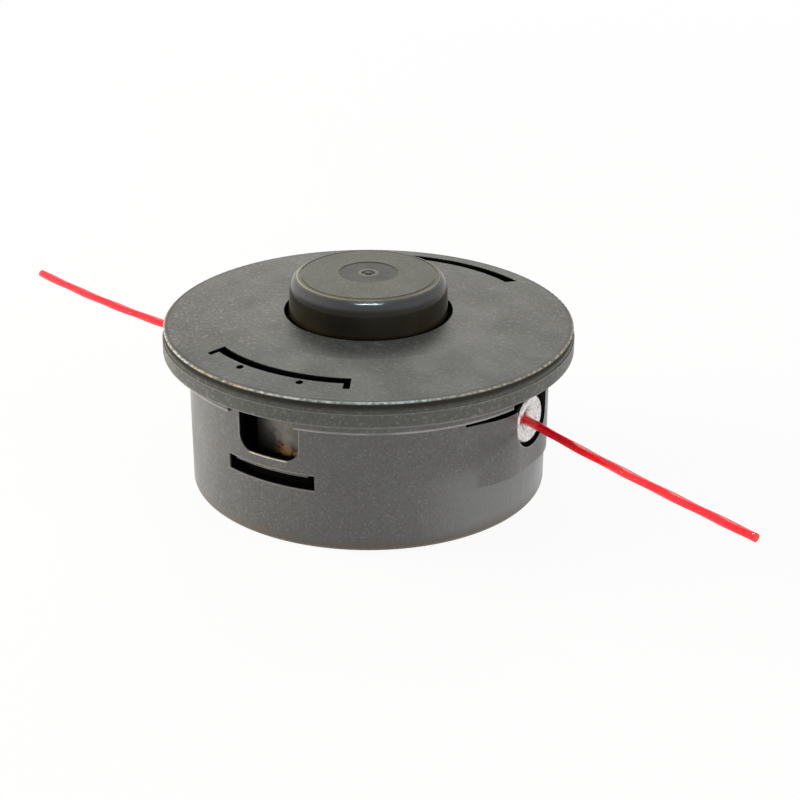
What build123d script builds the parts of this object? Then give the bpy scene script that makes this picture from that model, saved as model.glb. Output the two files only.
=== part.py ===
"""Bump-feed trimmer head: a cup housing, a latched cover, the spool with its line, and a tap button.

Frame: millimetres, +Z up with the tap button on top. The origin is the centre of the housing's
closed face. The line eyelets lie on the X axis and the cover's latches on the Y axis.
"""
import math
import os

from build123d import *

os.makedirs("parts", exist_ok=True)

# Fits
body_gap = 0.3           # between pieces that move against each other
seat_gap = 0.1           # round a piece that is dropped into its seat
press_gap = 0.02         # round a piece that is pressed home

# Housing cup
housing_r = 51.3         # outside of the wall at its top
housing_draft = 0.5      # how much the wall draws in towards the closed face
wall = 2.8
floor_t = 3.5
base_edge = 1.2          # rounding between the wall and the closed face
floor_fillet = 1.5       # rounding between the floor and the wall, inside
post_r = 10.5            # post that the spool slides on
post_top = 33.0
pocket_count = 6         # moulding pockets in the closed face
pocket_in_r = 17.0
pocket_margin = 6.0      # from the wall's outside to the pockets
pocket_depth = 1.2
pocket_half = 25.0       # degrees
bead_proud = 3.7         # bead round the wall, under the cover
bead_h = 2.3
bead_drop = 0.9          # from the cover's lip down to the bead's top
bead_break = 11.0        # degrees from a latch to the bead's end
bead_eyelet_break = 12.6 # degrees from an eyelet to the bead's end

# Drive nut
nut_flats = 16.0
nut_h = 10.0
nut_bore_r = 4.46        # root of the M10 x 1 thread
nut_chamfer = 0.6
shaft_r = 5.4            # passage for the shaft's end above the nut

# Latches
window_half = 9.6
window_bottom = 24.8
window_corner = 4.5
catch_bottom = 17.3      # slot that the latch hook reaches into
catch_top = 21.7
catch_half = 15.75       # degrees
tongue_half = 16.5       # degrees
tongue_setback = 3.1     # from the inside of the wall to the tongue
tongue_t = 2.2
press_pad_half = 8.7     # degrees, raised pad that a finger presses
press_pad_proud = 0.5
press_pad_bottom = 23.5
hook_half = 13.4         # degrees
hook_shy = 0.5           # from the outside of the wall to the hook's tip
hook_tip = 0.9           # height of the hook's tip

# Eyelets and their bosses
eyelet_z = 29.0
boss_proud = 1.2         # how far the boss's face stands past the wall
boss_half = 11.0
boss_corner = 22.0       # rounding between the boss's face and its flanks
boss_bottom = 14.8
relief_h = 2.95          # groove between the boss and the bead
relief_depth = 1.6       # into the wall
relief_half = 23.5       # where the groove ends
recess_r = 8.4           # open recess round the eyelet
recess_shift = 1.2       # of the recess, to the side that the line trails from
web_t = 2.8              # wall that grips the eyelet's neck
recess_depth = 1.9       # from the boss's face to that wall
seat_half = 9.5
seat_bottom = 19.5
seat_top = 36.0
neck_r = 5.0
flange_front_r = 6.8
flange_front_t = 1.8
flange_back_r = 6.4
flange_back_t = 1.4
flange_edge = 0.5
throat_r = 2.0
mouth_r = 3.8
mouth_back_r = 1.6

# Spool and tap travel
tap_travel = 6.0
dog_count = 6
dog_half = 9.0           # degrees
dog_in_r = 28.5
dog_out_r = 34.5
dog_h = 3.0
dog_gap = 0.5            # left at the end of the travel
dog_play = 1.0           # degrees between a dog and the one that stops it
spool_r = 40.5
spool_hub_r = 22.0
spool_hub_t = 5.0
spool_flange_t = 2.0
chamber_h = 12.2
spool_web_z = 25.0
spool_web_t = 3.0
notch_w = 3.4            # notch in the middle flange, where the line is looped
notch_depth = 6.0

# Windings, washer and spring
line_r = 1.2
line_clear = 1.1         # from the spool to the inner end of a line
bend_share = 0.45        # of a straight run, given to each of its bends
winding_r = 38.6
winding_gap = 0.1
winding_flat = 0.4       # share of a turn's width that is its crest
washer_t = 1.2
washer_out_r = 16.0
spring_wire_r = 0.9
spring_r = 13.2
spring_turns = 5
spring_sides = 10        # flats of the wire's section

# Cover
rim_overhang = 6.7       # from the housing's wall to the rim
cover_t = 2.4
cover_headroom = 1.25    # over the spool's dogs
cover_rise = 0.35        # from the ring up to the button's hole
cover_ring_r = 36.0      # where the middle meets the cone
cover_cone_drop = 2.85
rim_edge = 0.6           # rounding of the rim's upper edge
rim_h = 7.3
rim_band_h = 3.1         # upper band of the rim
rim_step = 0.3           # the lower band stands out by this
rim_wall = 2.6
lip_edge = 0.4
hole_r = 23.9
seat_entry = 3.1         # how far the housing's wall enters the rim
spigot_t = 1.6
spigot_h = 3.0
vent_offset = 0.3        # slot over the front latch hook, from the tongue's face
vent_w = 2.8
vent_half = 26.7         # degrees
vent_leg = 2.6           # how far the slot's legs reach outwards
vent_leg_half = 1.1      # degrees
dot_r = 1.05
dot_offset = 1.6         # from the slot to the dots beside it
dot_angle = 11.0         # degrees from the latch
back_vent_w = 4.3        # plain slot over the back latch hook, outside the spigot
back_vent_half = 24.8    # degrees

# Tap button
button_gap = 1.2         # round the button, in the cover's hole
button_draft = 0.4
button_rise = 10.85      # from the cover to the edge of the button's top
button_shoulder = 3.1    # width of the rounded shoulder
button_shoulder_h = 4.8
button_wall = 2.6
button_crown = 0.6       # rise of the top towards its centre
button_flange = 2.1      # how far the flange reaches past the cover's hole
button_flange_t = 1.6
button_flange_gap = 0.4
button_spigot_h = 2.4
button_spigot_t = 2.0
ring_groove_inset = 0.1  # from the edge of the top to the groove
ring_groove_w = 0.5
ring_groove_depth = 0.25
dish_r = 8.3
dish_depth = 0.15
gate_r = 2.0             # dimple at the centre
gate_depth = 0.5
pip_r = 0.9              # pip in that dimple
pip_h = 0.6

# Heights that follow from the stack of the spool
dog_low_z = floor_t + dog_gap + tap_travel
flange_low_z = dog_low_z + dog_h
chamber_low_z = flange_low_z + spool_flange_t
divider_z = chamber_low_z + chamber_h
chamber_up_z = divider_z + spool_flange_t
flange_up_z = chamber_up_z + chamber_h
spool_top = flange_up_z + spool_flange_t
dog_up_top = spool_top + dog_h
cover_dog_z = spool_top + dog_gap
cover_under_z = dog_up_top + cover_headroom
cover_mid_z = cover_under_z + cover_t
rim_top = cover_mid_z - cover_cone_drop
lip_z = rim_top - rim_h
wall_top = lip_z + seat_entry
bead_bottom = lip_z - bead_drop - bead_h
boss_top = bead_bottom - relief_h

# Radii and places that follow from their neighbours
inner_r = housing_r - wall
tongue_r = inner_r - tongue_setback
boss_face = housing_r + boss_proud
cover_r = housing_r + rim_overhang
rim_low_r = cover_r + rim_step
rim_in_r = rim_low_r - rim_wall
vent_in_r = tongue_r + vent_offset
vent_out_r = vent_in_r + vent_w
spigot_out_r = inner_r - body_gap
spool_bore_r = post_r + body_gap
spool_hub_in_r = spool_hub_r - spool_hub_t
web_face = boss_face - recess_depth
web_back = web_face - web_t
button_r = hole_r - button_gap
button_flange_r = hole_r + button_flange
button_edge_z = cover_mid_z + button_rise
washer_z = spool_web_z - body_gap - washer_t
dog_offset = 2 * dog_half + dog_play

# Routes of the two line ends, from just outside the spool to the cut end
line_start = spool_r + line_clear
right_route = [
    (line_start, 0.9, eyelet_z),
    (web_face, -0.5, eyelet_z),
    (web_face + 12.1, -6.0, eyelet_z),
    (web_face + 27.4, -12.4, eyelet_z),
    (web_face + 45.4, -19.3, eyelet_z),
    (web_face + 64.4, -26.15, eyelet_z),
    (web_face + 80.9, -31.9, eyelet_z),
]
left_route = [
    (-line_start, -0.7, eyelet_z),
    (-web_face - 1.4, -0.45, eyelet_z),
    (-web_face - 13.4, 0.45, eyelet_z),
    (-web_face - 28.4, 2.2, eyelet_z),
    (-web_face - 47.0, 5.55, eyelet_z),
    (-web_face - 65.9, 9.9, eyelet_z),
    (-web_face - 84.8, 15.4, eyelet_z),
]


def cover_top(r):
    """Height of the cover's upper face at a radius on its cone."""
    share = (r - cover_ring_r) / (cover_r - cover_ring_r)
    return cover_mid_z - cover_cone_drop * share


def sector(in_r, out_r, half, middle):
    """An annular sector about the Z axis, from its radii, half angle and middle angle."""
    with BuildSketch() as shape:
        with BuildLine():
            outside = CenterArc((0, 0), out_r, middle - half, 2 * half)
            inside = CenterArc((0, 0), in_r, middle - half, 2 * half)
            Line(outside @ 0, inside @ 0)
            Line(outside @ 1, inside @ 1)
        make_face()
    return shape.sketch


def dog_ring(offset):
    """The ring of driving dogs, turned by an angle."""
    with BuildSketch() as ring:
        for index in range(dog_count):
            add(sector(dog_in_r, dog_out_r, dog_half, offset + index * 360 / dog_count))
    return ring.sketch


def open_u(radius, bottom_z, top_z):
    """A U that is open upwards, drawn in a plane whose Y is the height."""
    with BuildSketch() as shape:
        with Locations((0, bottom_z + radius)):
            Circle(radius)
        with Locations((0, (bottom_z + radius + top_z) / 2)):
            Rectangle(2 * radius, top_z - bottom_z - radius)
    return shape.sketch


# Groove over an eyelet boss, which leaves the wall's inner part
with BuildPart() as relief:
    with BuildSketch(Plane.XY.offset(boss_top)):
        with Locations((housing_r, 0)):
            Rectangle(housing_r, 2 * relief_half)
        Circle(housing_r - relief_depth, mode=Mode.SUBTRACT)
    extrude(amount=relief_h)

# Housing: cup, post, dogs, bead and eyelet bosses, then its openings
with BuildPart() as housing:
    with BuildSketch(Plane.XZ):
        Polygon(
            (0, 0),
            (housing_r - housing_draft, 0),
            (housing_r, wall_top),
            (inner_r, wall_top),
            (inner_r - housing_draft, floor_t),
            (0, floor_t),
            align=None,
        )
    revolve(axis=Axis.Z)
    floor_edges = edges().filter_by(GeomType.CIRCLE).group_by(Axis.Z)
    fillet(floor_edges[0], base_edge)
    inside_edge = edges().filter_by(GeomType.CIRCLE).filter_by_position(
        Axis.Z, floor_t - seat_gap, floor_t + seat_gap)
    fillet(inside_edge, floor_fillet)
    with BuildSketch(Plane.XY):
        Circle(post_r)
    extrude(amount=post_top)
    with BuildSketch(Plane.XY.offset(floor_t / 2)):
        add(dog_ring(0))
    extrude(amount=floor_t / 2 + dog_h)

    # Bead, broken at the two latches and at the two eyelets
    bead_r = housing_r + bead_proud
    bead_half = (90 - bead_break - bead_eyelet_break) / 2
    with BuildSketch(Plane.XY.offset(bead_bottom)):
        for side in (0, 180):
            for middle in (bead_eyelet_break + bead_half, -bead_eyelet_break - bead_half):
                add(sector(inner_r + wall / 2, bead_r, bead_half, side + middle))
    extrude(amount=bead_h)

    # Eyelet bosses: flat faces that run out tangent to the wall at their foot
    foot_r = housing_r - housing_draft * (1 - boss_bottom / wall_top)
    corner_r = math.hypot(boss_face, boss_half)
    tangent = math.degrees(math.atan2(boss_half, boss_face) + math.acos(foot_r / corner_r))
    tangent_x = foot_r * math.cos(math.radians(tangent))
    tangent_y = foot_r * math.sin(math.radians(tangent))
    with BuildSketch(Plane.XY.offset(boss_bottom)):
        for side in (1, -1):
            Polygon(
                (side * boss_face, -boss_half),
                (side * boss_face, boss_half),
                (side * tangent_x, tangent_y),
                (side * tangent_x, -tangent_y),
                align=None,
            )
        corners = vertices().group_by(Axis.X)
        fillet(corners[0] + corners[-1], boss_corner)
        Circle(inner_r + wall / 4, mode=Mode.SUBTRACT)
    extrude(amount=boss_top - boss_bottom)

    # Flat seats inside, behind the eyelets
    with BuildSketch(Plane.XY.offset(seat_bottom)):
        Rectangle(2 * (inner_r + wall / 2), 2 * seat_half)
        Rectangle(2 * web_back, 4 * seat_half, mode=Mode.SUBTRACT)
    extrude(amount=seat_top - seat_bottom)

    # Latch windows, open upwards, and the catch slots under them
    for side in (1, -1):
        with BuildSketch(Plane.XZ.offset(side * (inner_r - wall))):
            with Locations((0, (window_bottom + wall_top) / 2)):
                Rectangle(2 * window_half, wall_top - window_bottom)
            fillet(vertices().group_by(Axis.Y)[0], window_corner)
        extrude(amount=side * 3 * wall, mode=Mode.SUBTRACT)
    with BuildSketch(Plane.XY.offset(catch_bottom)):
        for middle in (90, 270):
            add(sector(inner_r - wall, housing_r + wall, catch_half, middle))
    extrude(amount=catch_top - catch_bottom, mode=Mode.SUBTRACT)

    # Eyelet recesses and the narrower slots that grip the necks
    for side in (1, -1):
        with BuildSketch(Plane.YZ.offset(side * web_face)):
            add(Pos(side * recess_shift, 0) * open_u(recess_r, eyelet_z - recess_r, wall_top))
        extrude(amount=side * 2 * recess_depth, mode=Mode.SUBTRACT)
        with BuildSketch(Plane.YZ.offset(side * (web_back - wall))):
            add(open_u(neck_r + seat_gap, eyelet_z - neck_r - seat_gap, wall_top))
        extrude(amount=side * (2 * wall + recess_depth), mode=Mode.SUBTRACT)
    with PolarLocations(0, 2):
        add(relief.part, mode=Mode.SUBTRACT)

    # Nut pocket, shaft passage and the pockets of the closed face
    with BuildSketch(Plane.XY):
        RegularPolygon(nut_flats / 2 + press_gap, 6, major_radius=False)
    extrude(amount=nut_h + press_gap, mode=Mode.SUBTRACT)
    with BuildSketch(Plane.XY):
        Circle(shaft_r)
    extrude(amount=post_top, mode=Mode.SUBTRACT)
    with BuildSketch(Plane.XY):
        for index in range(pocket_count):
            add(sector(pocket_in_r, housing_r - pocket_margin, pocket_half, index * 360 / pocket_count))
    extrude(amount=pocket_depth, mode=Mode.SUBTRACT)

housing.part.label = "housing"
export_step(housing.part, "parts/housing.step")

# Drive nut in the foot of the post
with BuildPart() as drive_nut:
    with BuildSketch(Plane.XY):
        RegularPolygon(nut_flats / 2, 6, major_radius=False)
        Circle(nut_bore_r, mode=Mode.SUBTRACT)
    extrude(amount=nut_h)
    bore_edges = edges().filter_by(GeomType.CIRCLE)
    chamfer(bore_edges.group_by(Axis.Z)[0], nut_chamfer)

drive_nut.part.label = "drive_nut"
export_step(drive_nut.part, "parts/drive_nut.step")


def eyelet_at(side):
    """A flared eyelet whose neck sits in the housing's slot, on the +X or the -X side."""
    front = web_face + seat_gap + flange_front_t
    back = web_back - seat_gap - flange_back_t
    with BuildPart() as eyelet:
        with BuildSketch(Plane.XZ):
            with BuildLine():
                mouth = CenterArc((front - mouth_r, eyelet_z + throat_r + mouth_r), mouth_r, 270, 90)
                rear = CenterArc(
                    (back + mouth_back_r, eyelet_z + throat_r + mouth_back_r), mouth_back_r, 180, 90)
                Line(rear @ 1, mouth @ 0)
                Polyline(
                    mouth @ 1,
                    (front, eyelet_z + flange_front_r),
                    (front - flange_front_t, eyelet_z + flange_front_r),
                    (front - flange_front_t, eyelet_z + neck_r),
                    (back + flange_back_t, eyelet_z + neck_r),
                    (back + flange_back_t, eyelet_z + flange_back_r),
                    (back, eyelet_z + flange_back_r),
                    rear @ 0,
                )
            make_face()
            chamfer(vertices().group_by(Axis.Y)[-1], flange_edge)
        revolve(axis=Axis((0, 0, eyelet_z), (1, 0, 0)))
    if side > 0:
        return eyelet.part
    return eyelet.part.rotate(Axis.Z, 180)


eyelet_right = eyelet_at(1)
eyelet_right.label = "eyelet_right"
export_step(eyelet_right, "parts/eyelet_right.step")
eyelet_left = eyelet_at(-1)
eyelet_left.label = "eyelet_left"
export_step(eyelet_left, "parts/eyelet_left.step")

# Cover: one moulding with its rim, spigot, dogs, latch tongues and eyelet keepers
with BuildPart() as cover:
    seat_out_r = housing_r
    spigot_in_r = spigot_out_r - spigot_t
    with BuildSketch(Plane.XZ):
        Polygon(
            (hole_r, cover_under_z),
            (hole_r, cover_mid_z + cover_rise),
            (cover_ring_r, cover_mid_z),
            (cover_r, rim_top),
            (cover_r, rim_top - rim_band_h),
            (rim_low_r, rim_top - rim_band_h),
            (rim_low_r, lip_z),
            (rim_in_r, lip_z),
            (rim_in_r, cover_top(rim_in_r) - cover_t),
            (seat_out_r, cover_top(seat_out_r) - cover_t),
            (seat_out_r, wall_top),
            (spigot_out_r, wall_top),
            (spigot_out_r, wall_top - spigot_h),
            (spigot_in_r, wall_top - spigot_h),
            (spigot_in_r, cover_top(spigot_in_r) - cover_t),
            (cover_ring_r, cover_under_z),
            align=None,
        )
        rim_corners = vertices().filter_by_position(Axis.X, rim_in_r + lip_edge, rim_low_r).sort_by(Axis.Y)
        fillet(rim_corners[-1], rim_edge)
        fillet(vertices().group_by(Axis.X)[-1].sort_by(Axis.Y)[0], lip_edge)
    revolve(axis=Axis.Z)

    # Driving dogs under the middle of the cover
    with BuildSketch(Plane.XY.offset(cover_dog_z)):
        add(dog_ring(0))
    extrude(amount=cover_under_z + cover_t / 2 - cover_dog_z)

    # Slots over the latch hooks: a plain one at the back, and at the front one with a short leg
    # at each end and two dots beside it
    with BuildSketch(Plane.XY.offset(wall_top - 2 * spigot_h)):
        add(sector(spigot_out_r, spigot_out_r + back_vent_w, back_vent_half, 90))
        add(sector(vent_in_r, vent_out_r, vent_half, 270))
        for end in (-1, 1):
            leg_angle = 270 + end * (vent_half - vent_leg_half)
            add(sector(vent_out_r - vent_w / 2, vent_out_r + vent_leg, vent_leg_half, leg_angle))
            with PolarLocations(vent_out_r + dot_offset, 1, start_angle=270 + end * dot_angle):
                Circle(dot_r)
    extrude(amount=2 * rim_h, mode=Mode.SUBTRACT)

    # Latch tongues and their hooks
    hook_top = catch_top - seat_gap
    with BuildSketch(Plane.XY.offset(catch_bottom)):
        for middle in (90, 270):
            add(sector(tongue_r - tongue_t, tongue_r, tongue_half, middle))
    extrude(amount=cover_top(tongue_r) - cover_t / 2 - catch_bottom)
    with BuildSketch(Plane.XY.offset(press_pad_bottom)):
        for middle in (90, 270):
            add(sector(tongue_r - tongue_t / 2, tongue_r + press_pad_proud, press_pad_half, middle))
    extrude(amount=wall_top - spigot_h - press_pad_bottom)
    with BuildSketch(Plane.XY.offset(catch_bottom)):
        for middle in (90, 270):
            add(sector(tongue_r - tongue_t / 2, inner_r - housing_draft - body_gap, hook_half, middle))
    extrude(amount=hook_top - catch_bottom)
    with BuildSketch(Plane.XY.offset(hook_top - hook_tip)):
        for middle in (90, 270):
            add(sector(tongue_r - tongue_t / 2, housing_r - housing_draft - hook_shy, hook_half, middle))
    extrude(amount=hook_tip)

    # Keepers that close the slots over the eyelets
    keeper_bottom = eyelet_z + neck_r + body_gap
    keeper_half = neck_r + seat_gap - body_gap
    with BuildSketch(Plane.XY.offset(keeper_bottom)):
        Rectangle(2 * (web_face - body_gap), 2 * keeper_half)
        Rectangle(2 * (web_back + body_gap), 4 * keeper_half, mode=Mode.SUBTRACT)
    extrude(amount=wall_top + seat_entry / 2 - keeper_bottom)

cover.part.label = "cover"
export_step(cover.part, "parts/cover.step")

# Spool: hub, three flanges, a web that slides on the post, and dogs on both outer flanges
with BuildPart() as spool:
    with BuildSketch(Plane.XZ):
        Polygon(
            (spool_bore_r, spool_web_z),
            (spool_hub_in_r, spool_web_z),
            (spool_hub_in_r, flange_low_z),
            (spool_r, flange_low_z),
            (spool_r, chamber_low_z),
            (spool_hub_r, chamber_low_z),
            (spool_hub_r, divider_z),
            (spool_r, divider_z),
            (spool_r, chamber_up_z),
            (spool_hub_r, chamber_up_z),
            (spool_hub_r, flange_up_z),
            (spool_r, flange_up_z),
            (spool_r, spool_top),
            (spool_hub_in_r, spool_top),
            (spool_hub_in_r, spool_web_z + spool_web_t),
            (spool_bore_r, spool_web_z + spool_web_t),
            align=None,
        )
    revolve(axis=Axis.Z)
    with BuildSketch(Plane.XY.offset(dog_low_z)):
        add(dog_ring(dog_offset))
    extrude(amount=dog_h + spool_flange_t / 2)
    with BuildSketch(Plane.XY.offset(spool_top - spool_flange_t / 2)):
        add(dog_ring(dog_offset))
    extrude(amount=dog_h + spool_flange_t / 2)
    with BuildSketch(Plane.XY.offset(divider_z)):
        with PolarLocations(spool_r - notch_depth / 2, 2):
            Rectangle(notch_depth, notch_w)
    extrude(amount=spool_flange_t, mode=Mode.SUBTRACT)

spool.part.label = "spool"
export_step(spool.part, "parts/spool.step")


def winding_in(bottom_z):
    """The line wound in one chamber, as one ring whose outside shows the turns."""
    turns = int((chamber_h - 2 * winding_gap) / (2 * line_r))
    pitch = (chamber_h - 2 * winding_gap) / turns
    start_z = bottom_z + winding_gap
    valley_r = winding_r - line_r
    with BuildPart() as winding:
        with BuildSketch(Plane.XZ):
            with BuildLine():
                for turn in range(turns):
                    low = start_z + turn * pitch
                    Polyline(
                        (valley_r, low),
                        (winding_r, low + pitch * (1 - winding_flat) / 2),
                        (winding_r, low + pitch * (1 + winding_flat) / 2),
                        (valley_r, low + pitch),
                    )
                Polyline(
                    (valley_r, start_z + turns * pitch),
                    (spool_hub_r + winding_gap, start_z + turns * pitch),
                    (spool_hub_r + winding_gap, start_z),
                    (valley_r, start_z),
                )
            make_face()
        revolve(axis=Axis.Z)
    return winding.part


lower_winding = winding_in(chamber_low_z)
lower_winding.label = "lower_winding"
export_step(lower_winding, "parts/lower_winding.step")
upper_winding = winding_in(chamber_up_z)
upper_winding.label = "upper_winding"
export_step(upper_winding, "parts/upper_winding.step")

# Thrust washer between the spring and the spool's web
with BuildPart() as thrust_washer:
    with BuildSketch(Plane.XY.offset(washer_z)):
        Circle(washer_out_r)
        Circle(spool_bore_r, mode=Mode.SUBTRACT)
    extrude(amount=washer_t)

thrust_washer.part.label = "thrust_washer"
export_step(thrust_washer.part, "parts/thrust_washer.step")

# Spring between the floor and the washer
with BuildPart() as spring:
    spring_low = floor_t + spring_wire_r
    spring_high = washer_z - body_gap - spring_wire_r
    with BuildLine():
        coil = Helix((spring_high - spring_low) / spring_turns, spring_high - spring_low, spring_r,
                     center=(0, 0, spring_low))
    with BuildSketch(Plane(origin=coil @ 0, z_dir=coil % 0)):
        RegularPolygon(spring_wire_r, spring_sides)
    sweep(path=coil, is_frenet=True)

spring.part.label = "spring"
export_step(spring.part, "parts/spring.step")

# Tap button: a hollow cap with a flange under the cover and a spigot in the spool's hub
with BuildPart() as tap_button:
    flange_top = cover_under_z - button_flange_gap
    cap_r = button_r - button_draft
    shoulder_z = button_edge_z - button_shoulder_h
    plateau_r = cap_r - button_shoulder
    cavity_r = cap_r - button_wall
    cavity_z = button_edge_z - button_wall
    spigot_r = spool_hub_in_r - seat_gap
    spigot_web = spool_top + button_spigot_t
    crown_z = button_edge_z + button_crown
    dish_z = crown_z - dish_depth
    groove_r = plateau_r - ring_groove_inset
    with BuildSketch(Plane.XZ):
        with BuildLine():
            Polyline(
                (0, cavity_z),
                (cavity_r - button_shoulder / 2, cavity_z),
                (cavity_r, cavity_z - button_shoulder / 2),
                (cavity_r, spigot_web),
                (spigot_r - button_spigot_t, spigot_web),
                (spigot_r - button_spigot_t, spool_top - button_spigot_h),
                (spigot_r, spool_top - button_spigot_h),
                (spigot_r, spool_top),
                (button_r, spool_top),
                (button_r, flange_top - button_flange_t),
                (button_flange_r, flange_top - button_flange_t),
                (button_flange_r, flange_top),
                (button_r, flange_top),
                (cap_r, shoulder_z),
            )
            EllipticalCenterArc((plateau_r, shoulder_z), button_shoulder, button_shoulder_h)
            Polyline(
                (plateau_r, button_edge_z),
                (dish_r, crown_z),
                (dish_r, dish_z),
                (gate_r, dish_z),
                (gate_r, dish_z - gate_depth),
                (pip_r, dish_z - gate_depth),
                (pip_r, dish_z - gate_depth + pip_h),
                (0, dish_z - gate_depth + pip_h),
                (0, cavity_z),
            )
        make_face()
    revolve(axis=Axis.Z)
    with BuildSketch(Plane.XY.offset(button_edge_z - ring_groove_depth)):
        Circle(groove_r + ring_groove_w / 2)
        Circle(groove_r - ring_groove_w / 2, mode=Mode.SUBTRACT)
    extrude(amount=button_crown, mode=Mode.SUBTRACT)

tap_button.part.label = "tap_button"
export_step(tap_button.part, "parts/tap_button.step")


def line_end(route, name):
    """A free end of the line: straight runs joined by the largest tangent arcs they allow."""
    points = [Vector(*point) for point in route]
    runs = [after - before for before, after in zip(points, points[1:])]
    radii = []
    for run, following in zip(runs, runs[1:]):
        half_turn = math.radians(run.get_angle(following)) / 2
        radii.append(bend_share * min(run.length, following.length) / math.tan(half_turn))
    with BuildPart() as line:
        with BuildLine():
            path = FilletPolyline(*points, radius=radii)
        with BuildSketch(Plane(origin=path @ 0, z_dir=path % 0)):
            Circle(line_r)
        sweep(path=path)
    print(name, "length", round(path.length, 2), "volume", round(line.part.volume, 1),
          "of", round(math.pi * line_r**2 * path.length, 1),
          "radii", [round(radius, 1) for radius in radii])
    return line.part


line_right = line_end(right_route, "line_right")
line_right.label = "line_right"
export_step(line_right, "parts/line_right.step")
line_left = line_end(left_route, "line_left")
line_left.label = "line_left"
export_step(line_left, "parts/line_left.step")
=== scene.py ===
"""Looks of the trimmer head: materials for every piece, line ends, spring, light, floor and camera."""
import math

import bpy
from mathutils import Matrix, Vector


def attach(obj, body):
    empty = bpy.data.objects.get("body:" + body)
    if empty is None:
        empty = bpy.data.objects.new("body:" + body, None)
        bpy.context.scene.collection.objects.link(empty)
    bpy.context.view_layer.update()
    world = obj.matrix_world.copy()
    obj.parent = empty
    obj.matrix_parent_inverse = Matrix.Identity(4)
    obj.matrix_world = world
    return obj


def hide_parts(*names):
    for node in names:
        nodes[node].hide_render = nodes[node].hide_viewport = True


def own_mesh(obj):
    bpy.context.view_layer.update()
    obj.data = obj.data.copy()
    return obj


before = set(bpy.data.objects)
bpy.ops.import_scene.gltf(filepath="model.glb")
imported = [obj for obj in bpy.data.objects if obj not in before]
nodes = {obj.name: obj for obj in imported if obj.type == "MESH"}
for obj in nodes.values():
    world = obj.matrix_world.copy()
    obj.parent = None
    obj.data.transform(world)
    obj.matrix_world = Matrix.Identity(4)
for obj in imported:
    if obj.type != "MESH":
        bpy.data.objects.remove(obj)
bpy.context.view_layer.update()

MM = 0.001

# Camera, fitted to the photograph
CAMERA_AZIMUTH = 32.2
CAMERA_ELEVATION = 23.94
CAMERA_DISTANCE = 0.580
AIM_HEIGHT = 0.025
FOCAL_PX = 2014.0
FRAME_PX = 800.0
SENSOR_MM = 36.0
AIM_PX = (368.46, 390.85)

# Lamps: place, aim, size, power, tint, whether one lights surfaces and whether it shows in reflections
LAMPS = {
    "left": ((-0.88, -0.36, 0.13), (0, 0, 0.02), (0.7, 0.22), 27.0, (1.0, 0.93, 0.82), True, False),
    "right": ((1.0, 0.1, 0.11), (0, 0, 0.02), (0.6, 0.18), 9.0, (1.0, 0.97, 0.92), True, False),
    "front": ((0.6, -0.75, 0.3), (0, 0, 0.03), (0.6, 0.3), 1.3, (1.0, 0.98, 0.95), True, False),
    "shine": ((0.22, -0.35, 0.85), (0, 0, 0.05), (0.36, 0.08), 13.0, (0.74, 0.93, 1.0), False, True),
    "back": ((-0.5, 0.85, 0.75), (0, 0, 0.04), (0.7, 0.4), 2.4, (1.0, 0.98, 0.93), True, True),
}
WORLD_LIGHT = 0.45       # strength of the world as light; to the camera it is 1
FLOOR_HALF = 4.0
FLOOR_WHITE = 0.92       # share of plain white near the head; the rest shows its shadow
FLOOR_FADE_FROM = 0.25   # from here to FLOOR_FADE_TO the floor turns all white
FLOOR_FADE_TO = 0.8

# Line ends, the same points as the routes of the part
LINE_DIAMETER = 2.4 * MM
LINE_Z = 29.0            # the routes are in millimetres
RIGHT_ROUTE = [
    (41.6, 0.9, LINE_Z),
    (50.6, -0.5, LINE_Z),
    (62.7, -6.0, LINE_Z),
    (78.0, -12.4, LINE_Z),
    (96.0, -19.3, LINE_Z),
    (115.0, -26.15, LINE_Z),
    (131.5, -31.9, LINE_Z),
]
LEFT_ROUTE = [
    (-41.6, -0.7, LINE_Z),
    (-52.0, -0.45, LINE_Z),
    (-64.0, 0.45, LINE_Z),
    (-79.0, 2.2, LINE_Z),
    (-97.6, 5.55, LINE_Z),
    (-116.5, 9.9, LINE_Z),
    (-135.4, 15.4, LINE_Z),
]
LINE_SIDES = 24          # points round the line's section
LINE_STEPS = 24          # steps of its curve between two points of a route
LINE_SQUARENESS = 0.45   # 0 is a round section, 1 a sharp square one
LINE_TWIST = 70.0 * MM   # length of one full twist
LINE_FLAT = 0.93         # radius of the section's flats, against that of a round line
LINE_CORNER = 1.25       # how far its corners may stand out before they are rounded

# Places on the mouldings that the tones follow, in metres
WALL_FOOT_R = 50.8 * MM  # outside of the housing's wall at its foot
WALL_SLOPE = 0.5 / 43.0  # how the wall leans out with its height
SIDE_FROM = 42.0 * MM    # beyond this lie the bosses in X and the latches in Y
FOOT_H = 2.5 * MM
EYELET_Z = LINE_Z * MM
RECESS_R = 8.4 * MM
RECESS_SHIFT = 1.2 * MM
BOSS_TOP = 33.75 * MM
UNDER_BOSS_TOP = 20.0 * MM
GROOVE_HALF = 19.0 * MM  # half length of the groove over a boss
BEAD_R = 55.0 * MM
BEAD_BOTTOM = 36.7 * MM
WINDOW_HALF = 9.6 * MM
WINDOW_BOTTOM = 24.8 * MM
CATCH_HALF = 13.8 * MM
CATCH_BOTTOM = 17.3 * MM
CATCH_TOP = 21.7 * MM
COVER_R = 58.0 * MM
RIM_TOP = 47.2 * MM
RIM_STEP_Z = 44.1 * MM
LIP_Z = 39.9 * MM
RING_R = 36.0 * MM       # where the cover's flat middle meets its cone
RING_Z = 50.05 * MM
CONE_SLOPE = 2.85 / 22.0
TONGUE_R = 40.0 * MM     # from here to SLOTS_R lie the tongues and the slots
SLOTS_R = 53.5 * MM
HOOK_R = 49.6 * MM
PAD_R = 45.9 * MM
PAD_TOP = 42.0 * MM
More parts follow.
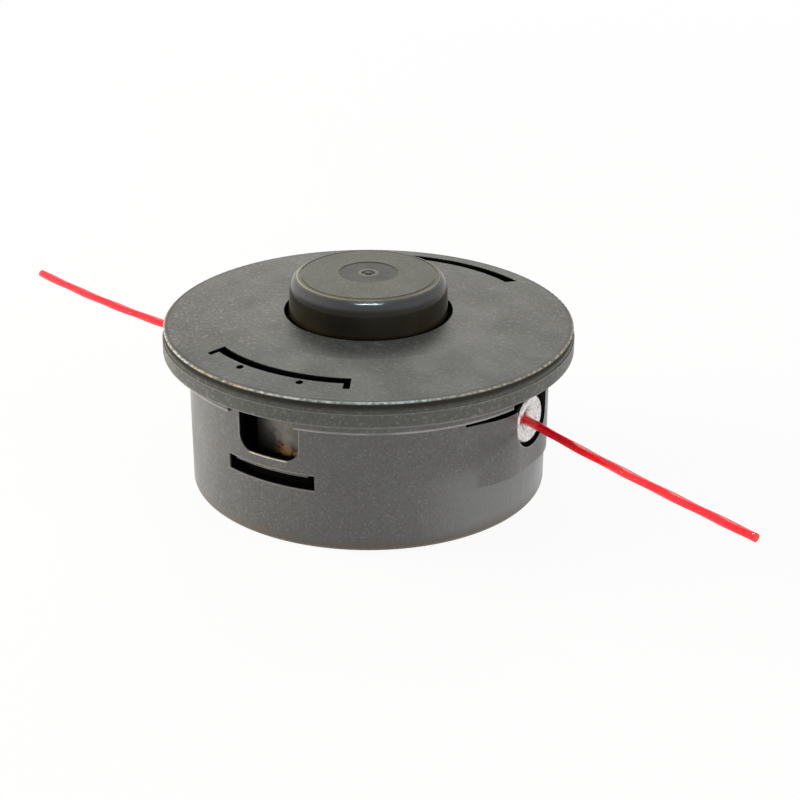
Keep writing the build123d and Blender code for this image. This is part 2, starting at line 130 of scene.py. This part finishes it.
STAIN_LOW = 26.5 * MM    # the pads are stained below this and pale above STAIN_HIGH
STAIN_HIGH = 32.0 * MM
HOLE_R = 23.9 * MM
HOLE_EDGE_Z = 50.0 * MM
BUTTON_TOP = 60.9 * MM
GROOVE_R = 19.1 * MM     # ring groove on the button
DISH_R = 8.3 * MM
GATE_R = 2.0 * MM
COOL_LIGHT_SIDE = (0.53, 0.85) # shares of +X and -Y in the way that the cover turns bluer with painted cool light

# Thin web that closes the view through the back slot: a dark sheet that stands in for the shade inside it
WEB_OUT_R = 55.55 * MM
WEB_BOTTOM = 41.0 * MM
WEB_TOP = 41.6 * MM
WEB_SPANS = [            # degrees from, degrees to, inner radius: in the window, then outside the wall
    (79.8, 100.2, 48.35 * MM),
    (64.5, 79.8, 51.45 * MM),
    (100.2, 115.5, 51.45 * MM),
]
WEB_STEPS = 16


def grey(level, warmth=0.0):
    return (level * (1 + warmth), level, level * (1 - warmth), 1.0)


# Tones
# Near black, painted as shade in deep places
PAINTED_SHADE_BLACK = grey(0.002)
HOUSING_TONES = (grey(0.046, 0.02), grey(0.064, 0.02))
COVER_TONES = ((0.041, 0.04, 0.029, 1.0), (0.056, 0.055, 0.04, 1.0))
COVER_PAINTED_COOL_LIGHT = (0.04, 0.046, 0.05, 1.0)
COVER_SHEEN = (1.0, 0.985, 0.88, 1.0)
COOL_TONE = (0.062, 0.07, 0.072, 1.0)
PIT_TONE = grey(0.02, 0.03)
SPECK_TONE = grey(0.16, 0.04)
BOSS_PAINTED_LIGHT = (0.112, 0.116, 0.12, 1.0)
FOOT_BROWN = (0.062, 0.05, 0.038, 1.0)
EDGE_HIGHLIGHT = grey(0.2, 0.02)
SILL_HIGHLIGHT = (0.5, 0.45, 0.36, 1.0)
RING_HIGHLIGHT = grey(0.14)
RIM_PAINTED_SHADE = (0.01, 0.009, 0.007, 1.0)
RIM_WEAR_AND_HIGHLIGHT = ((0.34, 0.285, 0.19, 1.0), (0.4, 0.43, 0.44, 1.0))
PAD_PALE = (grey(0.06, 0.06), grey(0.115, 0.06))
PAD_STAIN = ((0.004, 0.003, 0.002, 1.0), (0.17, 0.095, 0.035, 1.0))
PAD_SHADE = grey(0.004)
BUTTON_SIDE_SHADED = ((0.004, 0.0035, 0.002, 1.0), (0.012, 0.01, 0.006, 1.0))
BUTTON_FACE_LIT = ((0.066, 0.067, 0.044, 1.0), (0.088, 0.089, 0.06, 1.0))
BUTTON_SHOULDER_HIGHLIGHT = (0.036, 0.038, 0.042, 1.0)
BUTTON_SPECK = grey(0.24, 0.05)
BUTTON_DISH = (0.01, 0.01, 0.004, 1.0)
BUTTON_GATE = (0.16, 0.15, 0.12, 1.0)
BUTTON_RING_PALE = (0.3, 0.28, 0.22, 1.0)
SPOOL_TONES = (grey(0.03), grey(0.05))
NYLON_TONES = ((0.84, 0.005, 0.012, 1.0), (0.98, 0.009, 0.02, 1.0))
DRIVE_STEEL = (grey(0.42), grey(0.58))
EYELET_METAL = (grey(0.66, 0.03), grey(0.8, 0.03))
SPRING_STEEL = (grey(0.3), grey(0.45))
METAL_MOTTLE = grey(0.22, 0.06)
FLOOR_TONES = (grey(0.86), grey(0.9))
WHITE = (1, 1, 1, 1)
GLOSS = 0.5              # specular level of the mouldings
DULL_ROUGHNESS = 0.95


class Nodes:
    """Short ways to add shader nodes to one material."""

    def __init__(self, name):
        self.material = bpy.data.materials.new(name)
        self.material.use_nodes = True
        self.tree = self.material.node_tree
        self.shader = self.tree.nodes["Principled BSDF"]
        self.place = self.tree.nodes.new("ShaderNodeTexCoord").outputs["Object"]

    def put(self, value, socket):
        """Link an output to a socket, or set the socket to a plain value."""
        if isinstance(value, bpy.types.NodeSocket):
            self.tree.links.new(value, socket)
        else:
            socket.default_value = value

    def math(self, operation, first, second=0.0):
        node = self.tree.nodes.new("ShaderNodeMath")
        node.operation = operation
        for value, socket in zip((first, second), node.inputs):
            self.put(value, socket)
        return node.outputs[0]

    def times(self, first, second):
        return self.math("MULTIPLY", first, second)

    def minus(self, first, second):
        return self.math("SUBTRACT", first, second)

    def length(self, first, second):
        """Length of a vector of two parts."""
        return self.math("SQRT", self.math("ADD", self.times(first, first), self.times(second, second)))

    def scaled(self, factors):
        node = self.tree.nodes.new("ShaderNodeVectorMath")
        node.operation = "MULTIPLY"
        self.put(self.place, node.inputs[0])
        node.inputs[1].default_value = factors
        return node.outputs[0]

    def noise(self, scale, detail=3.0, place=None):
        node = self.tree.nodes.new("ShaderNodeTexNoise")
        self.put(place or self.place, node.inputs["Vector"])
        node.inputs["Scale"].default_value = scale
        node.inputs["Detail"].default_value = detail
        node.inputs["Roughness"].default_value = 0.55
        return node.outputs["Fac"]

    def remap(self, value, low, high, to_low=0.0, to_high=1.0):
        """A smooth step from one value to another."""
        node = self.tree.nodes.new("ShaderNodeMapRange")
        node.interpolation_type = "SMOOTHSTEP"
        self.put(value, node.inputs["Value"])
        node.inputs["From Min"].default_value = low
        node.inputs["From Max"].default_value = high
        node.inputs["To Min"].default_value = to_low
        node.inputs["To Max"].default_value = to_high
        return node.outputs["Result"]

    def mix(self, factor, first, second):
        node = self.tree.nodes.new("ShaderNodeMix")
        node.data_type = "RGBA"
        self.put(factor, node.inputs["Factor"])
        self.put(first, node.inputs[6])
        self.put(second, node.inputs[7])
        return node.outputs[2]

    def axes(self):
        node = self.tree.nodes.new("ShaderNodeSeparateXYZ")
        self.put(self.place, node.inputs[0])
        return node.outputs

    def radius(self):
        """Distance from the drive axis."""
        x, y, _ = self.axes()
        return self.length(x, y)

    def above(self, value, limit, soft):
        """1 where a value is over a limit, with a soft edge."""
        return self.remap(value, limit - soft, limit + soft)

    def below(self, value, limit, soft):
        """1 where a value is under a limit, with a soft edge."""
        return self.remap(value, limit - soft, limit + soft, 1.0, 0.0)

    def band(self, value, low, high, soft):
        """1 between low and high, falling off over a soft edge."""
        return self.all(self.above(value, low, soft), self.below(value, high, soft))

    def all(self, *masks):
        product = masks[0]
        for mask in masks[1:]:
            product = self.times(product, mask)
        return product

    def any(self, *masks):
        most = masks[0]
        for mask in masks[1:]:
            most = self.math("MAXIMUM", most, mask)
        return most

    def without(self, mask):
        """1 where the mask is 0."""
        return self.minus(1.0, mask)

    def bump(self, height, distance, strength, under=None):
        node = self.tree.nodes.new("ShaderNodeBump")
        node.inputs["Strength"].default_value = strength
        node.inputs["Distance"].default_value = distance
        self.put(height, node.inputs["Height"])
        if under is not None:
            self.put(under, node.inputs["Normal"])
        return node.outputs["Normal"]

    def dull(self, mask, rough):
        """Take the gloss from masked places, and give back the roughness."""
        self.put(self.minus(GLOSS, self.times(mask, GLOSS)), self.shader.inputs["Specular IOR Level"])
        return self.math("MAXIMUM", rough, self.times(mask, DULL_ROUGHNESS))

    def finish(self, color, roughness, normal=None, **values):
        """Fill the shader; further values are named after its sockets."""
        self.put(color, self.shader.inputs["Base Color"])
        self.put(roughness, self.shader.inputs["Roughness"])
        if normal is not None:
            self.put(normal, self.shader.inputs["Normal"])
        for name, value in values.items():
            self.shader.inputs[name.replace("_", " ")].default_value = value
        return self.material


def grained_plastic(name, tones, specks, pits, grain):
    """Matt moulding with a clouded tone, pits, specks and a fine grain."""
    n = Nodes(name)
    color = n.mix(n.remap(n.noise(28.0, 4.0), 0.3, 0.7), *tones)
    color = n.mix(n.remap(n.noise(420.0), 0.4, 0.7, 0.0, 0.5), color, COOL_TONE)
    pit = n.remap(n.noise(grain, place=n.scaled((1.0, 1.0, 1.3))), 0.3, 0.5, pits, 0.0)
    color = n.mix(pit, color, PIT_TONE)
    color = n.mix(n.remap(n.noise(grain), 0.5, 0.74, 0.0, specks), color, SPECK_TONE)
    rough = n.remap(n.noise(90.0, 4.0), 0.25, 0.75, 0.4, 0.52)
    fine = n.bump(n.noise(1100.0), 0.16 * MM, 0.45)
    normal = n.bump(n.noise(160.0, 2.0), 0.3 * MM, 0.12, fine)
    return n, color, rough, normal


def housing_material():
    n, color, rough, normal = grained_plastic("housing_plastic", HOUSING_TONES,
                                             specks=0.42, pits=0.4, grain=1500.0)
    x, y, z = n.axes()
    radius = n.radius()
    side_x = n.math("ABSOLUTE", x)
    side_y = n.math("ABSOLUTE", y)
    depth = n.minus(n.minus(radius, WALL_FOOT_R), n.times(z, WALL_SLOPE))
    under_z = n.math("MINIMUM", n.minus(z, EYELET_Z), 0.0)
    along = n.minus(y, n.times(n.math("SIGN", x), RECESS_SHIFT))
    from_eyelet = n.length(along, under_z)
    at_boss = n.above(side_x, SIDE_FROM, 0.5 * MM)
    at_latch = n.above(side_y, SIDE_FROM, 0.5 * MM)

    # Painted light on the wall under the bosses, and browner at the foot
    under_boss_light = n.all(n.above(side_x, SIDE_FROM, 6.0 * MM), n.below(depth, 0.4 * MM, 0.15 * MM),
                       n.below(z, UNDER_BOSS_TOP, 3.0 * MM))
    color = n.mix(n.times(under_boss_light, 0.55), color, BOSS_PAINTED_LIGHT)
    foot = n.all(n.below(z, FOOT_H, FOOT_H), n.remap(radius, 46.0 * MM, 50.0 * MM, 0.25, 1.0))
    color = n.mix(foot, color, FOOT_BROWN)

    # Painted highlights along moulded edges
    patch = n.remap(n.noise(120.0), 0.3, 0.65, 0.35, 1.0)
    bead_edge = n.all(n.above(radius, BEAD_R - 0.5 * MM, 0.2 * MM), n.below(z, BEAD_BOTTOM + 0.5 * MM, 0.2 * MM),
                      n.above(z, BEAD_BOTTOM - 1 * MM, 0.2 * MM))
    recess_edge = n.all(at_boss, n.band(from_eyelet, RECESS_R, RECESS_R + 0.3 * MM, 0.12 * MM),
                        n.below(z, BOSS_TOP, 0.1 * MM))
    window_edge = n.all(at_latch, n.band(z, WINDOW_BOTTOM - 0.32 * MM, WINDOW_BOTTOM, 0.12 * MM),
                        n.below(side_x, WINDOW_HALF - 3.6 * MM, 0.8 * MM))
    jamb_edge = n.all(at_latch, n.band(side_x, WINDOW_HALF, WINDOW_HALF + 0.3 * MM, 0.1 * MM),
                      n.above(z, WINDOW_BOTTOM + 3 * MM, 0.8 * MM))
    catch_edge = n.all(at_latch, n.below(side_x, CATCH_HALF, 0.2 * MM),
                       n.any(n.band(z, CATCH_BOTTOM - 0.3 * MM, CATCH_BOTTOM, 0.1 * MM),
                             n.band(z, CATCH_TOP, CATCH_TOP + 0.3 * MM, 0.1 * MM)))
    faint_highlights = n.any(bead_edge, recess_edge, n.times(n.any(catch_edge, jamb_edge), 0.6))
    color = n.mix(n.all(faint_highlights, patch), color, EDGE_HIGHLIGHT)
    color = n.mix(n.all(window_edge, patch), color, SILL_HIGHLIGHT)

    # Painted shade: near black and without gloss in the deep places behind the wall's outer face, in the recess
    # round an eyelet and over its boss
    behind = n.all(n.below(depth, -0.4 * MM, 0.15 * MM), n.above(z, 3 * MM, 0.5 * MM))
    recess = n.all(at_boss, n.below(from_eyelet, RECESS_R + 0.02 * MM, 0.04 * MM))
    groove = n.all(at_boss, n.band(z, BOSS_TOP - 0.05 * MM, BEAD_BOTTOM - 0.1 * MM, 0.03 * MM),
                   n.below(side_y, GROOVE_HALF, 3 * MM))
    deep_shade = n.any(behind, recess, groove)
    color = n.mix(deep_shade, color, PAINTED_SHADE_BLACK)
    return n.finish(color, n.dull(deep_shade, n.minus(rough, 0.12)), normal)


def cover_material():
    n, color, rough, normal = grained_plastic("cover_plastic", COVER_TONES,
                                             specks=0.95, pits=0.8, grain=1000.0)
    x, y, z = n.axes()
    radius = n.radius()
    # Painted cool light: the cover turns bluer towards one side
    cool_light_way = n.minus(n.times(x, COOL_LIGHT_SIDE[0]), n.times(y, COOL_LIGHT_SIDE[1]))
    color = n.mix(n.remap(cool_light_way, 5.0 * MM, 36.0 * MM, 0.0, 0.5), color, COVER_PAINTED_COOL_LIGHT)
    # Painted highlight along the crease where the flat middle meets the cone
    ring = n.band(radius, RING_R - 0.25 * MM, RING_R + 0.1 * MM, 0.2 * MM)
    color = n.mix(n.times(ring, 0.3), color, RING_HIGHLIGHT)

    # Rim: a rubbed top edge that is real wear with a painted highlight, painted shade in a line inside it and in
    # a band below it, and painted highlights at the step and the lip
    rubbed_highlight_edge = n.all(n.above(radius, COVER_R - 0.46 * MM, 0.12 * MM), n.above(z, RIM_TOP - 0.38 * MM, 0.1 * MM))
    pale_marks = n.mix(n.remap(n.noise(22.0, 2.0), 0.4, 0.6), *RIM_WEAR_AND_HIGHLIGHT)
    patch = n.remap(n.noise(700.0, 4.0), 0.36, 0.64, 0.08, 0.9)
    inside_line = n.all(n.band(radius, COVER_R - 1.3 * MM, COVER_R - 0.65 * MM, 0.15 * MM),
                        n.above(z, RIM_TOP - 0.5 * MM, 0.2 * MM))
    shaded_band = n.all(n.above(radius, COVER_R - 0.3 * MM, 0.1 * MM), n.below(z, RIM_TOP - 0.5 * MM, 0.15 * MM),
                      n.remap(z, RIM_TOP - 3.3 * MM, RIM_TOP - 1.2 * MM, 0.1, 1.0))
    color = n.mix(n.times(n.any(inside_line, shaded_band), 0.92), color, RIM_PAINTED_SHADE)
    color = n.mix(n.all(rubbed_highlight_edge, patch), color, pale_marks)
    step_line = n.all(n.above(radius, COVER_R - 0.2 * MM, 0.1 * MM),
                      n.band(z, RIM_STEP_Z - 0.25 * MM, RIM_STEP_Z + 0.05 * MM, 0.1 * MM))
    lip_line = n.all(n.above(radius, COVER_R - 0.8 * MM, 0.2 * MM), n.below(z, LIP_Z + 0.55 * MM, 0.15 * MM))
    color = n.mix(n.times(n.any(step_line, lip_line), 0.3), color, EDGE_HIGHLIGHT)

    # Painted shade: near black and without gloss under the skin at the slots and tongues, apart from the hooks,
    # and at the hole's edge
    skin = n.minus(RING_Z, n.times(n.minus(radius, RING_R), CONE_SLOPE))
    under_skin = n.below(n.minus(z, skin), -0.16 * MM, 0.06 * MM)
    hook = n.all(n.above(radius, HOOK_R, 0.1 * MM), n.below(z, CATCH_TOP + 0.5 * MM, 0.1 * MM))
    inside = n.all(n.band(radius, TONGUE_R, SLOTS_R, 0.3 * MM), under_skin, n.without(hook))
    hole_edge_shade = n.all(n.below(radius, HOLE_R + 0.1 * MM, 0.05 * MM), n.below(z, HOLE_EDGE_Z, 0.15 * MM))
    deep_shade = n.any(inside, hole_edge_shade)
    color = n.mix(deep_shade, color, PAINTED_SHADE_BLACK)

    # The pads that a finger presses, pale above, stained below, with painted shade to one side
    pad = n.all(n.band(radius, PAD_R - 0.3 * MM, PAD_R + 0.4 * MM, 0.1 * MM), n.below(z, PAD_TOP, 0.5 * MM))
    uneven = n.times(n.minus(n.noise(210.0, 4.0), 0.5), 9.0 * MM)
    across = n.times(x, n.math("SIGN", y))
    slope = n.minus(n.math("ADD", z, uneven), n.times(across, 0.45))
    pale = n.mix(n.remap(n.noise(260.0, 4.0), 0.3, 0.7), *PAD_PALE)
    brown = n.all(n.remap(n.noise(380.0), 0.4, 0.62), n.remap(across, 2.0 * MM, -3.0 * MM))
    marks = n.mix(n.remap(slope, STAIN_LOW, STAIN_HIGH), n.mix(brown, *PAD_STAIN), pale)
    marks = n.mix(n.remap(across, 0.5 * MM, 6.0 * MM, 0.0, 0.95), marks, PAD_SHADE)
    color = n.mix(pad, color, marks)

    dull = n.any(n.all(deep_shade, n.without(pad)), n.times(shaded_band, 0.75))
    return n.finish(color, n.dull(dull, rough), normal, Specular_Tint=COVER_SHEEN)


def button_material():
    n = Nodes("button_plastic")
    _, _, z = n.axes()
    radius = n.radius()
    cloud = n.remap(n.noise(45.0, 4.0), 0.3, 0.7)
    # Painted light and shade: a lit face, a bluish highlight band on the shoulder and a shaded, near-black side
    side = n.mix(cloud, *BUTTON_SIDE_SHADED)
    side = n.mix(n.above(z, BUTTON_TOP - 2.6 * MM, 0.7 * MM), side, BUTTON_SHOULDER_HIGHLIGHT)
    at_side = n.all(n.above(radius, GROOVE_R + 0.2 * MM, 0.15 * MM),
                    n.below(z, BUTTON_TOP - 0.5 * MM, 0.45 * MM))
    color = n.mix(at_side, n.mix(cloud, *BUTTON_FACE_LIT), side)
    face = n.above(z, BUTTON_TOP - 0.5 * MM, 0.3 * MM)
    speck = n.remap(n.noise(1300.0), 0.5, 0.75, 0.0, 0.4)
    color = n.mix(n.all(speck, face), color, BUTTON_SPECK)
    stain = n.remap(n.noise(150.0, 4.0), 0.35, 0.65, 0.7, 1.0)
    color = n.mix(n.all(n.below(radius, DISH_R, 0.4 * MM), stain), color, BUTTON_DISH)
    color = n.mix(n.band(radius, GATE_R - 1 * MM, GATE_R + 0.9 * MM, 0.5 * MM), color, BUTTON_GATE)
    # Pale lines along the ring groove
    rings = n.any(n.band(radius, GROOVE_R - 0.2 * MM, GROOVE_R + 0.25 * MM, 0.1 * MM),
                  n.band(radius, GROOVE_R + 0.85 * MM, GROOVE_R + 1.1 * MM, 0.1 * MM))
    pale_marks = n.all(rings, n.remap(n.noise(60.0), 0.35, 0.6, 0.3, 1.0), n.above(z, BUTTON_TOP - 0.9 * MM, 0.2 * MM))
    color = n.mix(pale_marks, color, BUTTON_RING_PALE)
    rough = n.remap(n.noise(140.0, 4.0), 0.25, 0.75, 0.13, 0.2)
    rough = n.math("ADD", rough, n.times(face, 0.26))
    turned = n.noise(900.0, 2.0, place=n.scaled((0.04, 0.04, 1.0)))
    normal = n.bump(n.noise(900.0), 0.1 * MM, 0.3, n.bump(turned, 0.1 * MM, 0.1))
    return n.finish(color, rough, normal, Specular_IOR_Level=0.22)


def spool_material():
    n = Nodes("spool_plastic")
    color = n.mix(n.remap(n.noise(60.0), 0.3, 0.7), *SPOOL_TONES)
    rough = n.remap(n.noise(200.0), 0.25, 0.75, 0.45, 0.6)
    return n.finish(color, rough, n.bump(n.noise(1200.0, 2.0), 0.1 * MM, 0.2))


def nylon_material(name):
    n = Nodes(name)
    color = n.mix(n.remap(n.noise(120.0), 0.3, 0.7), *NYLON_TONES)
    rough = n.remap(n.noise(400.0), 0.25, 0.75, 0.12, 0.22)
    return n.finish(color, rough, n.bump(n.noise(1800.0, 2.0), 0.05 * MM, 0.2), Specular_IOR_Level=0.45)


def metal_material(name, tones, rough_low, rough_high, scratch):
    """Metal with streaks along one way and dark mottles."""
    n = Nodes(name)
    streak = n.noise(700.0, 4.0, place=n.scaled(scratch))
    color = n.mix(n.remap(streak, 0.3, 0.7), *tones)
    color = n.mix(n.remap(n.noise(1100.0, 4.0), 0.42, 0.68, 0.0, 0.55), color, METAL_MOTTLE)
    rough = n.remap(n.noise(350.0), 0.25, 0.75, rough_low, rough_high)
    return n.finish(color, rough, n.bump(streak, 0.06 * MM, 0.3), Metallic=1.0)


def dress(node, material):
    mesh = nodes[node].data
    mesh.materials.clear()
    mesh.materials.append(material)


def new_piece(name, mesh, material):
    mesh.materials.clear()
    mesh.materials.append(material)
    piece = bpy.data.objects.new(name, mesh)
    bpy.context.scene.collection.objects.link(piece)
    return piece


def spline_points(route, name):
    """Points along the smooth NURBS line of a route, in metres."""
    curve = bpy.data.curves.new(name, "CURVE")
    curve.dimensions = "3D"
    curve.resolution_u = LINE_STEPS
    spline = curve.splines.new("NURBS")
    spline.points.add(len(route) - 1)
    for point, place in zip(spline.points, route):
        point.co = (*(Vector(place) * MM), 1.0)
    spline.order_u = 3
    spline.use_endpoint_u = True
    holder = bpy.data.objects.new(name, curve)
    bpy.context.scene.collection.objects.link(holder)
    bpy.context.view_layer.update()
    mesh = bpy.data.meshes.new_from_object(holder.evaluated_get(bpy.context.evaluated_depsgraph_get()))
    points = [vertex.co.copy() for vertex in mesh.vertices]
    bpy.data.meshes.remove(mesh)
    bpy.data.objects.remove(holder)
    bpy.data.curves.remove(curve)
    return points


def section_radius(angle):
    """Radius of the line's rounded square section at an angle."""
    square = 1.0 / max(abs(math.cos(angle)), abs(math.sin(angle)))
    return LINE_DIAMETER / 2 * LINE_FLAT * (1 + LINE_SQUARENESS * (min(square, LINE_CORNER) - 1))


def line_piece(route, name, node, material):
    """A free line end: a slightly twisted tube along the route's spline, cut square at its tip."""
    path = spline_points(route, name + "_route")
    up = Vector((0, 0, 1))
    vertices, faces = [], []
    travelled = 0.0
    for index, centre in enumerate(path):
        before = path[max(index - 1, 0)]
        after = path[min(index + 1, len(path) - 1)]
        side = (after - before).normalized().cross(up).normalized()
        travelled += (centre - before).length
        twist = 2 * math.pi * travelled / LINE_TWIST
        for step in range(LINE_SIDES):
            angle = 2 * math.pi * step / LINE_SIDES
            reach = section_radius(angle)
            turned = angle + twist
            vertices.append(centre + side * reach * math.cos(turned) + up * reach * math.sin(turned))
    for ring in range(len(path) - 1):
        for step in range(LINE_SIDES):
            first = ring * LINE_SIDES + step
            second = ring * LINE_SIDES + (step + 1) % LINE_SIDES
            faces.append((first, second, second + LINE_SIDES, first + LINE_SIDES))
    faces.append(tuple(range(LINE_SIDES - 1, -1, -1)))
    faces.append(tuple((len(path) - 1) * LINE_SIDES + step for step in range(LINE_SIDES)))
    mesh = bpy.data.meshes.new(name)
    mesh.from_pydata([tuple(v) for v in vertices], [], faces)
    for polygon in mesh.polygons:
        polygon.use_smooth = len(polygon.vertices) == 4
    piece = new_piece(name, mesh, material)
    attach(piece, "head")
    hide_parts(node)


def spring_piece(material):
    """The spring as a piece of its own, a copy of the spring's mesh on the head."""
    source = nodes["spring"]
    mesh = source.data.copy()
    piece = new_piece("tap_spring", mesh, material)
    piece.matrix_world = source.matrix_world.copy()
    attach(piece, "head")
    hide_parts("spring")
    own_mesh(piece)


def web_piece(material):
    """A thin curved web inside the rim, under the slot over the back latch; most of it takes the cover's painted
    shade, so that it is a dark sheet standing in for the shade in the slot.
    """
    vertices, faces = [], []
    for low, high, inner in WEB_SPANS:
        base = len(vertices)
        section = ((inner, WEB_BOTTOM), (WEB_OUT_R, WEB_BOTTOM), (WEB_OUT_R, WEB_TOP), (inner, WEB_TOP))
        for step in range(WEB_STEPS + 1):
            angle = math.radians(low + (high - low) * step / WEB_STEPS)
            for reach, height in section:
                vertices.append((reach * math.cos(angle), reach * math.sin(angle), height))
        for step in range(WEB_STEPS):
            for corner in range(4):
                first = base + 4 * step + corner
                second = base + 4 * step + (corner + 1) % 4
                faces.append((first, first + 4, second + 4, second))
        faces.append(tuple(base + corner for corner in (0, 1, 2, 3)))
        faces.append(tuple(base + 4 * WEB_STEPS + corner for corner in (3, 2, 1, 0)))
    mesh = bpy.data.meshes.new("back_slot_shade_web")
    mesh.from_pydata(vertices, [], faces)
    piece = new_piece("back_slot_shade_web", mesh, material)
    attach(piece, "head")


def make_floor():
    """Pale floor that stays white to the camera and keeps a faint shadow."""
    n = Nodes("floor")
    tree = n.tree
    tone = n.mix(n.noise(3.0, 2.0), *FLOOR_TONES)
    n.finish(tone, 0.7)
    rays = tree.nodes.new("ShaderNodeLightPath").outputs
    seen = n.math("MAXIMUM", rays["Is Camera Ray"], rays["Is Glossy Ray"])
    seen = n.math("MAXIMUM", seen, rays["Is Transmission Ray"])
    white = tree.nodes.new("ShaderNodeEmission")
    white.inputs["Color"].default_value = WHITE
    white.inputs["Strength"].default_value = 1.0
    blend = tree.nodes.new("ShaderNodeMixShader")
    share = n.remap(n.radius(), FLOOR_FADE_FROM, FLOOR_FADE_TO, FLOOR_WHITE, 1.0)
    tree.links.new(n.times(seen, share), blend.inputs[0])
    tree.links.new(n.shader.outputs[0], blend.inputs[1])
    tree.links.new(white.outputs[0], blend.inputs[2])
    tree.links.new(blend.outputs[0], tree.nodes["Material Output"].inputs["Surface"])
    corners = [(FLOOR_HALF * x, FLOOR_HALF * y, 0) for x, y in ((-1, -1), (1, -1), (1, 1), (-1, 1))]
    mesh = bpy.data.meshes.new("floor")
    mesh.from_pydata(corners, [], [(0, 1, 2, 3)])
    floor = new_piece("floor", mesh, n.material)


def make_world():
    """White to the camera and in reflections, a softer grey as light."""
    world = bpy.data.worlds.new("studio")
    bpy.context.scene.world = world
    world.use_nodes = True
    tree = world.node_tree
    rays = tree.nodes.new("ShaderNodeLightPath").outputs
    seen = None
    for name in ("Is Camera Ray", "Is Glossy Ray", "Is Transmission Ray"):
        if seen is None:
            seen = rays[name]
            continue
        node = tree.nodes.new("ShaderNodeMath")
        node.operation = "MAXIMUM"
        tree.links.new(seen, node.inputs[0])
        tree.links.new(rays[name], node.inputs[1])
        seen = node.outputs[0]
    strength = tree.nodes.new("ShaderNodeMapRange")
    tree.links.new(seen, strength.inputs["Value"])
    strength.inputs["To Min"].default_value = WORLD_LIGHT
    strength.inputs["To Max"].default_value = 1.0
    background = tree.nodes["Background"]
    background.inputs["Color"].default_value = WHITE
    tree.links.new(strength.outputs[0], background.inputs["Strength"])


def softbox(name, place, aim, size, power, tint, fills, shines):
    """A rectangular lamp that can be kept out of the soft light or out of reflections."""
    light = bpy.data.lights.new(name, "AREA")
    light.shape = "RECTANGLE"
    light.size, light.size_y = size
    light.energy = power
    light.color = tint
    lamp = bpy.data.objects.new(name, light)
    lamp.location = place
    lamp.rotation_euler = (Vector(aim) - Vector(place)).to_track_quat("-Z", "Y").to_euler()
    lamp.visible_diffuse = fills
    lamp.visible_glossy = shines
    bpy.context.scene.collection.objects.link(lamp)


def make_camera():
    azimuth = math.radians(CAMERA_AZIMUTH)
    elevation = math.radians(CAMERA_ELEVATION)
    aim = Vector((0, 0, AIM_HEIGHT))
    away = Vector((math.sin(azimuth) * math.cos(elevation),
                   -math.cos(azimuth) * math.cos(elevation), math.sin(elevation)))
    data = bpy.data.cameras.new("camera")
    data.sensor_width = SENSOR_MM
    data.lens = FOCAL_PX / FRAME_PX * SENSOR_MM
    data.shift_x = (FRAME_PX / 2 - AIM_PX[0]) / FRAME_PX
    data.shift_y = (AIM_PX[1] - FRAME_PX / 2) / FRAME_PX
    data.clip_start = 0.01
    camera = bpy.data.objects.new("camera", data)
    camera.location = aim + away * CAMERA_DISTANCE
    camera.rotation_euler = (-away).to_track_quat("-Z", "Y").to_euler()
    bpy.context.scene.collection.objects.link(camera)
    bpy.context.scene.camera = camera


make_camera()
make_world()
make_floor()
for lamp, values in LAMPS.items():
    softbox(lamp, *values)

nylon = nylon_material("line_nylon_red")
steel = metal_material("drive_steel", DRIVE_STEEL, 0.28, 0.42, (1.0, 1.0, 0.05))
eyelet = metal_material("eyelet_metal", EYELET_METAL, 0.3, 0.4, (0.05, 1.0, 1.0))
wire = metal_material("spring_wire", SPRING_STEEL, 0.3, 0.45, (0.2, 0.2, 1.0))
dress("housing", housing_material())
cover_plastic = cover_material()
dress("cover", cover_plastic)
dress("tap_button", button_material())
dress("spool", spool_material())
dress("upper_winding", nylon)
dress("lower_winding", nylon)
dress("eyelet_right", eyelet)
dress("eyelet_left", eyelet)
dress("drive_nut", steel)
dress("thrust_washer", steel)
dress("spring", wire)
spring_piece(wire)
web_piece(cover_plastic)
line_piece(RIGHT_ROUTE, "trimmer_line_right", "line_right", nylon)
line_piece(LEFT_ROUTE, "trimmer_line_left", "line_left", nylon)

bpy.context.scene.view_settings.view_transform = "Standard"
